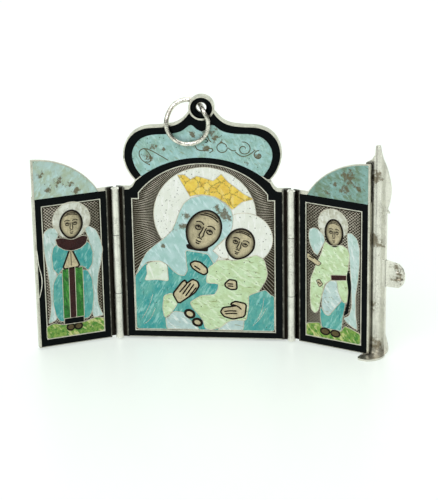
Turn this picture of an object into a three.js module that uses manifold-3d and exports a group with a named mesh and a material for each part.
// Travelling triptych in silver and enamel: a crested centre panel with a hanging ring, and two hinged wings.
// Millimetres, +Z up. The panel faces look along -Y, and z = 0 is the underside of the three panels.
import * as THREE from "three";
import { mergeVertices } from "three/addons/utils/BufferGeometryUtils.js";
import Module from "manifold-3d";

const wasm = await Module();
wasm.setup();

// Panels
const PANEL_HEIGHT = 40.3; // square-topped part of all three panels
const RIM = 0.4; // bare silver round the enamel
const LINE = 0.25; // silver line between border and picture
const BORDER = 1.75; // width of the black enamel border
const PICTURE_FOOT = 2.0; // underside of the pictures above the panels' underside
const FIT = 0.03; // clearance round a piece that fills a pocket
const POCKET = 0.4; // depth of the enamel pockets
const SINK = 0.03; // enamel lies this much below the silver rims

// Centre panel
const TILE_HALF = 19.9; // half width of the raised tile
const TILE_DEPTH = 0.9; // tile in front of the base plate
const BASE_DEPTH = 0.85;
const PLATE_DEPTH = TILE_DEPTH + BASE_DEPTH;
const SHOULDER_DROP = 2.85; // the picture steps in to its arch this far below the panel's top
const SHOULDER_STEP = 1.7;
const ARCH_RADIUS = 19.9; // inner edge of the arch
const ARCH_RISE = 6.6; // above the panel's square top
const BAND_RADIUS = 24.6; // outer edge of the black arch band
const BAND_RISE = 8.3;

// Crest: half outlines [x, height above the panel's square top], and how far they follow the eyelet
const NECK = [16.6, 2.3];
const CREST_LOBE = [NECK, [18.3, 4.7], [19.4, 8.3], [18.9, 11.9], [17, 14.7], [14, 16.2],
  [10, 16.5], [6.8, 17]];
const CREST_STEM = [[4.6, -2.8], [2.7, -0.4]]; // [x, height from the eyelet's centre]
const FIELD = [[15, 3.45], [16.5, 5.9], [17.2, 8.7], [16.7, 11.1], [14.9, 13.3], [12, 14.3], [8, 14.5],
  [5, 15.2], [2.7, 16.8], [1.2, 15.7], [0, 15.1]];
const CREST_RIM = 0.3;
const CREST_LEAN = 0.018; // the crest rises a little to the right

// Eyelet and ring
const EYELET_RISE = 21.1; // eyelet's centre above the panel's square top
const EYELET_RADIUS = 3.15;
const EYELET_RIM = 0.45;
const EYELET_STEP = 0.25; // depth of the dish at its rim
const EYE_RADIUS = 1.2;
const EYE_WEB = 0.3; // thickness left round the eye
const RING_RADIUS = 5.13; // centre line of the wire
const RING_WIRE = 0.62; // radius of the wire
const RING_ANGLE = 48.5; // degrees from +X to the eye, seen from the ring's centre
const RING_PLAY = 0.18; // ring to plate
const RING_BEND = 0.9; // length over which the ring passes the eye
const RING_CROSSING = 105; // degrees from the eye round to where it crosses above the crest

// Hinges
const HINGE_OUT = 1.8; // hinge axes outside the tile's sides
const HINGE_SPACING = 2 * (TILE_HALF + HINGE_OUT);
const CLOSED_GAP = 0.4; // between a closed wing's face and the centre's
const BARREL_RADIUS = 1.0;
const PIN_RADIUS = 0.42;
const PIN_CLEARANCE = 0.04;
const KNUCKLE_END = 12.2; // length of the upper and the lower knuckle
const KNUCKLE_GAP = 0.12;
const LEAF_GAP = 0.1; // leaf edge to the plane of the hinge axis
const LEAF_WEB = 0.7; // width of the solder web under a knuckle
const WING_OPEN = { left: 22.8, right: 21.5 }; // degrees forward of flat

// Wings, in their own frame: u outwards from the hinge axis, v behind the face
const WING_INNER = 1.95; // axis to the tile
const WING_OUTER = 20.8; // axis to the free edge
const WING_RIM = 0.5; // bare silver along the free edge
const WING_HINGE_RIM = 0.3; // and beside the hinge
const WING_BACKING = 0.55; // backing plate behind the leaf's front
const WING_DEPTH = TILE_DEPTH + WING_BACKING;
const LUNETTE_DEPTH = 0.6;
const LUNETTE_DROP = 10.4; // centre of the lunettes' common arc below the panel's top
const LUNETTE_RADIUS = 20.4;
const LUNETTE_RIM = 0.22;
const WING_PICTURE_DROP = 2.3; // picture's top below the panel's top

// Cover bar on the back of the right wing's free edge
const BAR_GAP = 0.15; // bar to the backs of both closed wings
const BAR_DEPTH = 1.0;
const BAR_LAP = 1.8; // bar behind the wing
const BAR_OVERHANG = 3.5; // straight stretch of the bar beyond the wing's free edge
const BAR_RISE = 4.4; // tip above the lunettes' top
const BAR_TROUGH = 0.4;
const BAR_LIP = 0.35; // thickness of the channel's edges
const BAR_EDGE = WING_OUTER + BAR_OVERHANG;
const BAR_BULGE = 1.3; // widest part beyond the straight edge
// Outline [beyond the straight edge, below the tip] down the outer side, then up the inner
const BAR_SIDE = [[-1.9, 0], [-1.2, -3.1], [0.1, -5.8], [BAR_BULGE, -10.1], [1, -13.5], [0.4, -15.7]];
const BAR_NIB = [[0.3, -16.1], [1, -16.8], [0.1, -16.9]];
const BAR_FLARE = [[0, 5.5], [0.6, 3.5], [1, 1.9], [0.7, 0.6], [-0.1, 0]]; // height above the bar's foot
const BAR_NECK = [[-0.4, -3.7], [0.5, -2.3], [0.7, 0]];

const LUG_LENGTH = 5;
const LUG_LOW = 18.4;
const LUG_HEIGHT = 7.1;
const LUG_DEPTH = 0.6;
const LUG_INSET = 0.12; // lug's face behind the bar's
const LUG_END = [[1.6, 0.9], [0.4, 0.72], [0, 0.44], [0.4, 0.17], [1.5, 0.03]]; // [back from the end, share up]
const DIMPLES = [[1.7, 0.7, 0.85], [1.2, 0.45, 1]]; // [back from the end, share up, radius]
const DIMPLE_DEPTH = 0.2;

const FOOT_DROP = 0.12; // foot below the panels
const FOOT_THICK = 0.5;
const FOOT_REACH = 2.9; // in front of the wing's face
const FOOT_ROOT = 0.4; // foot's end inside the bar's back
// Plan [beyond the wing's free edge, in front of its face], forward outside and back inside
const FOOT_OUTER = [[3.5, -0.4], [2.4, 1.6], [0.6, FOOT_REACH]];
const FOOT_INNER = [[-1.2, FOOT_REACH], [-2, FOOT_REACH - 0.8], [-1.6, 0]];

// Two low rests on the back's lower edge, level with the foot
const REST_LENGTH = 9;
const REST_DEPTH = 0.4;

const PANEL_STEPS = 36;
const ARC_STEPS = 40;
const ROUND_STEPS = 28;
const LUNETTE_STEPS = 22;
const RING_STEPS = 80;
const WIRE_SIDES = 10;
const BEYOND = 1; // cutters run this far past what they cut

const FINISH = {
  silver: { color: 0xc9c6ba, roughness: 0.32, metalness: 1 },
  ground: { color: 0x6d675a, roughness: 0.45, metalness: 1 },
  black: { color: 0x0b0f10, roughness: 0.14, metalness: 0 },
  blue: { color: 0x9cc8cb, roughness: 0.2, metalness: 0 },
};

// A geometry as a solid, and back
function solidOf(geometry) {
  const bare = geometry.clone();
  bare.deleteAttribute("normal");
  bare.deleteAttribute("uv");
  const merged = mergeVertices(bare, 1e-4);
  return new wasm.Manifold(new wasm.Mesh({
    numProp: 3,
    vertProperties: merged.attributes.position.array,
    triVerts: new Uint32Array(merged.index.array),
  }));
}

function geometryOf(solid) {
  const mesh = solid.getMesh();
  const geometry = new THREE.BufferGeometry();
  geometry.setAttribute("position", new THREE.BufferAttribute(mesh.vertProperties, 3));
  geometry.setIndex(new THREE.BufferAttribute(mesh.triVerts, 1));
  geometry.computeVertexNormals();
  return geometry;
}

function piece(name, solid, finish) {
  const mesh = new THREE.Mesh(geometryOf(solid), new THREE.MeshStandardMaterial(FINISH[finish]));
  mesh.name = name;
  return mesh;
}

const vectors = (points) => points.map(([x, z]) => new THREE.Vector2(x, z));

// A flat outline in X and Z, carried from depth front to depth back
function slab(points, front, back) {
  const geometry = new THREE.ExtrudeGeometry(new THREE.Shape(vectors(points)), {
    depth: back - front, bevelEnabled: false,
  });
  geometry.rotateX(Math.PI / 2).translate(0, back, 0);
  return solidOf(geometry);
}

function block(low, high) {
  const size = high.map((value, i) => value - low[i]);
  const geometry = new THREE.BoxGeometry(...size);
  geometry.translate(...low.map((value, i) => value + size[i] / 2));
  return solidOf(geometry);
}

// A profile [radius, along] turned about a line along Y through [x, z]
function turned(profile, [x, z]) {
  return solidOf(new THREE.LatheGeometry(vectors(profile), ROUND_STEPS).translate(x, 0, z));
}

// A profile [radius, height] turned about the hinge axis
function upright(profile) {
  const geometry = new THREE.LatheGeometry(vectors(profile), ROUND_STEPS);
  return solidOf(geometry.rotateX(Math.PI / 2).translate(0, -CLOSED_GAP / 2, 0));
}

const tube = (radius, low, high) => upright([[0, low], [radius, low], [radius, high], [0, high]]);

const rectangle = (left, right, low, high) => [[left, low], [right, low], [right, high], [left, high]];
const mirrored = (half) => [...half, ...half.filter(([x]) => x > 0).reverse().map(([x, z]) => [-x, z])];
const leaning = (points) => points.map(([x, z]) => [x, z + CREST_LEAN * x]);

// An anticlockwise outline moved outwards by distance, with mitred corners
function grown(points, distance) {
  return points.map((point, i) => {
    const before = points.at(i - 1);
    const after = points[(i + 1) % points.length];
    const a = new THREE.Vector2(point[1] - before[1], before[0] - point[0]).normalize();
    const b = new THREE.Vector2(after[1] - point[1], point[0] - after[0]).normalize();
    const share = distance / (1 + a.dot(b));
    return [point[0] + (a.x + b.x) * share, point[1] + (a.y + b.y) * share];
  });
}

// A smooth line through a few points
function smooth(points, steps) {
  return new THREE.SplineCurve(vectors(points)).getPoints(steps).map((p) => [p.x, p.y]);
}

// The top of a circle, from x = reach over to the left, with its highest point at top
function archOver(radius, top, reach) {
  const half = Math.asin(Math.min(1, reach / radius));
  return Array.from({ length: ARC_STEPS + 1 }, (_, i) => {
    const angle = half - (2 * half * i) / ARC_STEPS;
    return [radius * Math.sin(angle), top - radius + radius * Math.cos(angle)];
  });
}

const pictureHalf = TILE_HALF - RIM - BORDER - LINE;
const bandTop = PANEL_HEIGHT + BAND_RISE;
const neck = [NECK[0], PANEL_HEIGHT + NECK[1]];
const eyelet = [0, PANEL_HEIGHT + EYELET_RISE];
const footTop = FIT - FOOT_DROP; // the foot starts a hair inside the bar's end
const footUnderside = footTop - FOOT_THICK;

function pictureOutline() {
  const shoulder = PANEL_HEIGHT - SHOULDER_DROP;
  const arch = archOver(ARCH_RADIUS, PANEL_HEIGHT + ARCH_RISE, pictureHalf - SHOULDER_STEP);
  return [[-pictureHalf, PICTURE_FOOT], [pictureHalf, PICTURE_FOOT], [pictureHalf, shoulder],
    [pictureHalf - SHOULDER_STEP, shoulder], ...arch,
    [SHOULDER_STEP - pictureHalf, shoulder], [-pictureHalf, shoulder]];
}

// The black border runs up the sides, turns in over the shoulders and meets the crest at its neck
function borderOutline() {
  const half = TILE_HALF - RIM;
  const top = PANEL_HEIGHT - RIM;
  const meeting = bandTop - BAND_RADIUS + Math.sqrt(BAND_RADIUS ** 2 - neck[0] ** 2);
  const turn = smooth([[half - 3 * RIM, top + RIM / 4], [neck[0] + 2 * RIM, top + 2 * RIM],
    [neck[0] + RIM / 2, meeting - RIM]], 4);
  const side = [[half, RIM / 2], [half, top], ...turn];
  const mirror = side.map(([x, z]) => [-x, z]).reverse();
  return [...side, ...archOver(BAND_RADIUS, bandTop, neck[0]), ...mirror];
}

// Half outlines above the panel's top, smoothed, mirrored and leaning
const overPanel = (half) => leaning(mirrored(smooth(half.map(([x, z]) => [x, PANEL_HEIGHT + z]), PANEL_STEPS)));
const crestOutline = () => overPanel([...CREST_LOBE, ...CREST_STEM.map(([x, z]) => [x, EYELET_RISE + z])]);
const fieldOutline = () => overPanel(FIELD);

function eyeletDisc(radius, front, back) {
  return turned([[0, front], [radius, front], [radius, back], [0, back]], eyelet);
}

function eyeletDish() {
  const wide = EYELET_RADIUS - EYELET_RIM;
  const web = (PLATE_DEPTH - EYE_WEB) / 2;
  const front = [[0, -BEYOND], [wide, -BEYOND], [wide, EYELET_STEP], [EYE_RADIUS, web]];
  const back = front.map(([r, y]) => [r, PLATE_DEPTH - y]).reverse();
  return turned([...front, ...back], eyelet);
}

// Enamel solids of the centre: gap is 0 for the pocket, and FIT for the enamel that fills it
function centreEnamels(gap) {
  const front = gap ? SINK : -BEYOND;
  const back = POCKET - gap;
  const fill = (points) => slab(grown(points, -gap), front, back);
  const clear = (points, more) => slab(grown(points, more + gap), front - BEYOND, back + BEYOND);
  const low = PANEL_HEIGHT - ARCH_RISE;
  const wide = neck[0] + BEYOND;
  const underBand = [...archOver(BAND_RADIUS, bandTop, wide), [-wide, low], [wide, low]];
  return {
    picture: fill(pictureOutline()),
    border: fill(borderOutline()).subtract(clear(pictureOutline(), LINE)),
    field: fill(fieldOutline()).subtract(clear(underBand, 0)),
    edge: fill(grown(crestOutline(), -CREST_RIM))
      .subtract(clear(fieldOutline(), 0))
      .subtract(clear(underBand, LINE))
      .subtract(eyeletDisc(EYELET_RADIUS + gap, front - BEYOND, back + BEYOND)),
  };
}

function centrePlate() {
  const leafHalf = HINGE_SPACING / 2 - LEAF_GAP;
  const tile = slab(rectangle(-TILE_HALF, TILE_HALF, 0, PANEL_HEIGHT), 0, PLATE_DEPTH);
  const leaves = slab(rectangle(-leafHalf, leafHalf, 0, PANEL_HEIGHT), TILE_DEPTH, PLATE_DEPTH);
  const shoulders = slab(grown(borderOutline(), RIM / 2), 0, PLATE_DEPTH);
  const crest = slab(crestOutline(), 0, PLATE_DEPTH);
  const boss = eyeletDisc(EYELET_RADIUS, 0, PLATE_DEPTH);
  const rests = [-leafHalf, leafHalf - REST_LENGTH].map((left) => block(
    [left, PLATE_DEPTH - REST_DEPTH, footUnderside], [left + REST_LENGTH, PLATE_DEPTH, RIM]));
  const whole = wasm.Manifold.union([tile, leaves, shoulders, crest, boss, ...rests]);
  const pockets = Object.values(centreEnamels(0));
  return pockets.reduce((plate, pocket) => plate.subtract(pocket), whole.subtract(eyeletDish()));
}

// The ring hangs in front of the crest, passes the eye, and lies behind the eyelet
function ring() {
  const middle = PLATE_DEPTH / 2;
  const away = middle + RING_WIRE + RING_PLAY;
  const eyeAngle = THREE.MathUtils.degToRad(RING_ANGLE);
  const farAngle = eyeAngle + THREE.MathUtils.degToRad(RING_CROSSING);
  const toward = (angle) => [RING_RADIUS * Math.cos(angle), RING_RADIUS * Math.sin(angle)];
  const centre = toward(eyeAngle).map((value, i) => eyelet[i] - value);
  const points = Array.from({ length: RING_STEPS }, (_, i) => {
    const angle = (i / RING_STEPS) * 2 * Math.PI;
    const pastEye = Math.tanh(((angle - eyeAngle) * RING_RADIUS) / RING_BEND);
    const beforeFar = Math.tanh(((farAngle - angle) * RING_RADIUS) / (2 * RING_BEND));
    const [x, z] = toward(angle);
    return new THREE.Vector3(centre[0] + x, middle + away * Math.min(pastEye, beforeFar), centre[1] + z);
  });
  const path = new THREE.CatmullRomCurve3(points, true);
  return solidOf(new THREE.TubeGeometry(path, RING_STEPS, RING_WIRE, WIRE_SIDES, true));
}

// A hinge knuckle round the axis at x = 0, with its solder web towards side (+1 or -1)
function knuckle(low, high, side) {
  const bore = PIN_RADIUS + PIN_CLEARANCE;
  const barrel = upright([[bore, low], [BARREL_RADIUS, low], [BARREL_RADIUS, high], [bore, high], [bore, low]]);
  const [near, far] = [side * LEAF_GAP, side * (LEAF_GAP + LEAF_WEB)].sort((a, b) => a - b);
  const web = block([near, -CLOSED_GAP / 2, low], [far, TILE_DEPTH - FIT, high]);
  return barrel.add(web.subtract(tube((bore + BARREL_RADIUS) / 2, low, high)));
}

const hingePin = () => tube(PIN_RADIUS, 0, PANEL_HEIGHT);

const lunetteCentre = [HINGE_SPACING / 2, PANEL_HEIGHT - LUNETTE_DROP];

// The quarter arch over a wing, from its foot at z = low to u = outer
function lunetteOutline(radius, low, outer) {
  const first = Math.acos((outer - lunetteCentre[0]) / radius);
  const last = Math.PI - Math.asin((low - lunetteCentre[1]) / radius);
  const arc = Array.from({ length: LUNETTE_STEPS + 1 }, (_, i) => {
    const angle = first + ((last - first) * i) / LUNETTE_STEPS;
    return [lunetteCentre[0] + radius * Math.cos(angle), lunetteCentre[1] + radius * Math.sin(angle)];
  });
  return [[outer, low], ...arc];
}

function wingEnamels(gap) {
  const front = gap ? SINK : -BEYOND;
  const back = POCKET - gap;
  const top = PANEL_HEIGHT - RIM;
  const inner = WING_INNER + WING_HINGE_RIM;
  const outer = WING_OUTER - WING_RIM;
  const border = rectangle(inner, outer, RIM / 2, top);
  const pictureTop = PANEL_HEIGHT - WING_PICTURE_DROP;
  const hole = rectangle(inner + BORDER - LINE, outer - BORDER + LINE, PICTURE_FOOT, pictureTop);
  const fill = (points) => slab(grown(points, -gap), front, back);
  return {
    picture: fill(grown(hole, -LINE)),
    border: fill(border).subtract(slab(grown(hole, gap), front - BEYOND, back + BEYOND)),
    lunette: fill(lunetteOutline(LUNETTE_RADIUS - LUNETTE_RIM, top + gap, outer)),
  };
}

function wingPlate() {
  const leaf = slab(rectangle(LEAF_GAP, WING_OUTER, 0, PANEL_HEIGHT), TILE_DEPTH, WING_DEPTH);
  const tile = slab(rectangle(WING_INNER, WING_OUTER, 0, PANEL_HEIGHT), 0, WING_DEPTH);
  const lunette = slab(lunetteOutline(LUNETTE_RADIUS, PANEL_HEIGHT - RIM, WING_OUTER), 0, LUNETTE_DEPTH);
  const pockets = Object.values(wingEnamels(0));
  return pockets.reduce((plate, pocket) => plate.subtract(pocket), leaf.add(tile).add(lunette));
}

const barFront = WING_DEPTH + BAR_GAP;
const barBack = barFront + BAR_DEPTH;
const barRoot = WING_OUTER - BAR_LAP;

// A flat shape in X and Y, carried up from low to high
function column(points, low, high) {
  const shape = new THREE.Shape(vectors(points));
  const geometry = new THREE.ExtrudeGeometry(shape, { depth: high - low, bevelEnabled: false });
  return solidOf(geometry.translate(0, 0, low));
}

// The bar is a half-round channel: its section [u, v] is carried up, and its outline [u, z] cut from that
function coverBar() {
  const tip = lunetteCentre[1] + LUNETTE_RADIUS + BAR_RISE;
  const wide = BAR_EDGE + BAR_BULGE;
  const middle = (barRoot + wide) / 2;
  const trough = smooth([[WING_OUTER + BAR_TROUGH, barFront], [middle + BAR_TROUGH, barFront + BAR_TROUGH],
    [BAR_EDGE, barFront]], PANEL_STEPS / 3);
  const crown = smooth([[wide, barFront + BAR_LIP], [BAR_EDGE - BAR_LIP, barBack - BAR_DEPTH / 10],
    [middle, barBack], [barRoot + BAR_LAP / 2, barBack - BAR_DEPTH / 4], [barRoot, barFront + BAR_LIP]],
  PANEL_STEPS / 2);
  const section = [[barRoot, barFront], ...trough, [wide, barFront], ...crown];
  const side = smooth(BAR_SIDE.map(([u, z]) => [BAR_EDGE + u, tip + z]), PANEL_STEPS / 2);
  const nib = BAR_NIB.map(([u, z]) => [BAR_EDGE + u, tip + z]);
  const flare = smooth(BAR_FLARE.map(([u, z]) => [BAR_EDGE + u, z - FOOT_DROP]), PANEL_STEPS / 4);
  const inner = BAR_NECK.map(([u, z]) => [WING_OUTER + u, tip + z]);
  const outline = [...side, ...nib, ...flare, [barRoot, -FOOT_DROP],
    [barRoot, inner[0][1] - BAR_LAP / 2], ...inner];
  return column(section, -FOOT_DROP, tip + BEYOND)
    .intersect(slab(outline.reverse(), barFront - BEYOND, barBack + BEYOND)).add(lug()).add(foot());
}

function lug() {
  const face = barFront + LUG_INSET;
  const end = BAR_EDGE + LUG_LENGTH;
  const root = BAR_EDGE - BAR_TROUGH * 2;
  const at = ([back, share]) => [end - back, LUG_LOW + LUG_HEIGHT * share];
  const round = smooth(LUG_END.map(at), PANEL_STEPS / 3).reverse();
  const outline = [[root, LUG_LOW], ...round, [root, LUG_LOW + LUG_HEIGHT]];
  return DIMPLES.reduce((solid, [back, share, radius]) => solid.subtract(turned(
    [[0, face - BEYOND], [radius, face - BEYOND], [radius, face], [radius * 0.7, face + DIMPLE_DEPTH],
      [0, face + DIMPLE_DEPTH]], at([back, share]))), slab(outline, face, face + LUG_DEPTH));
}

// The foot is a tongue that bends forward from the bar's lower end, under the wing
function foot() {
  const root = barBack - FOOT_ROOT;
  const place = ([u, forward]) => [WING_OUTER + u, -forward];
  const outer = smooth([[BAR_EDGE, root], ...FOOT_OUTER.map(place)], PANEL_STEPS / 4);
  const inner = smooth([...FOOT_INNER.map(place), [barRoot + BAR_LAP / 2, root]], PANEL_STEPS / 4);
  return column([...outer, ...inner].reverse(), footUnderside, footTop);
}

const nameOf = (side) => (side < 0 ? "left" : "right");

// A wing's own frame has its hinge axis at the origin; the left wing mirrors the right
function wing(side) {
  const name = nameOf(side);
  const group = new THREE.Group();
  const enamels = wingEnamels(FIT);
  group.add(
    piece(`${name}_wing_plate`, wingPlate(), "silver"),
    piece(`${name}_wing_picture`, enamels.picture, "ground"),
    piece(`${name}_wing_border_enamel`, enamels.border, "black"),
    piece(`${name}_lunette_enamel`, enamels.lunette, "blue"),
    piece(`${name}_hinge_middle_knuckle`,
      knuckle(KNUCKLE_END + KNUCKLE_GAP, PANEL_HEIGHT - KNUCKLE_END - KNUCKLE_GAP, 1), "silver"),
  );
  if (side > 0) group.add(piece("cover_bar", coverBar(), "silver"));
  group.children.forEach((mesh) => mesh.geometry.translate(0, CLOSED_GAP / 2, 0));
  group.position.set((side * HINGE_SPACING) / 2, -CLOSED_GAP / 2, 0);
  group.rotation.z = -side * THREE.MathUtils.degToRad(WING_OPEN[name]);
  group.scale.x = side;
  return group;
}

function centre() {
  const group = new THREE.Group();
  const enamels = centreEnamels(FIT);
  group.add(
    piece("centre_plate", centrePlate(), "silver"),
    piece("centre_picture", enamels.picture, "ground"),
    piece("centre_border_enamel", enamels.border, "black"),
    piece("crest_edge_enamel", enamels.edge, "black"),
    piece("crest_field_enamel", enamels.field, "blue"),
    piece("jump_ring", ring(), "silver"),
  );
  for (const side of [-1, 1]) {
    const name = nameOf(side);
    const parts = [
      piece(`${name}_hinge_upper_knuckle`, knuckle(PANEL_HEIGHT - KNUCKLE_END, PANEL_HEIGHT, -side), "silver"),
      piece(`${name}_hinge_lower_knuckle`, knuckle(0, KNUCKLE_END, -side), "silver"),
      piece(`${name}_hinge_pin`, hingePin(), "silver"),
    ];
    parts.forEach((mesh) => mesh.position.set((side * HINGE_SPACING) / 2, 0, 0));
    group.add(...parts);
  }
  return group;
}

const triptych = new THREE.Group();
triptych.add(centre(), wing(-1), wing(1));
triptych.position.y = -PLATE_DEPTH / 2;

export default triptych;
